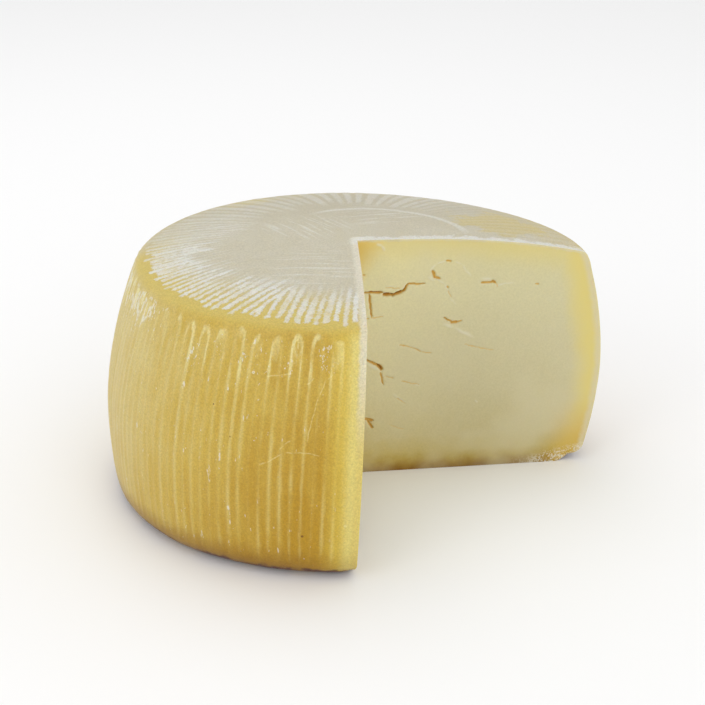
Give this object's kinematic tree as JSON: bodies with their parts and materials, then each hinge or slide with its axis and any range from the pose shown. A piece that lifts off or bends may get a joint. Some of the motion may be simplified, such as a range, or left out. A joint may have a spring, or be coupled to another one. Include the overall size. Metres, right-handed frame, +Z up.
{
  "type": "caciotta cheese wheel",
  "caption": "Small round pressed cheese with a reeded rind, a domed top and one wedge cut out, showing the pale paste with its cracks.",
  "frame": {"origin": "on the table under the middle of the whole wheel, about 8 mm behind the tip of the cut-out wedge", "axes": "+Z up through the dome; the missing wedge opens towards +X and -Y, its right cut runs close to +X and its left cut close to -Y"},
  "size_m": [0.2003, 0.2009, 0.1008],
  "materials": {
    "cheese": "satin"
  },
  "bodies": {
    "root": {"caciotta_wheel": "cheese"}
  },
  "joints": []
}
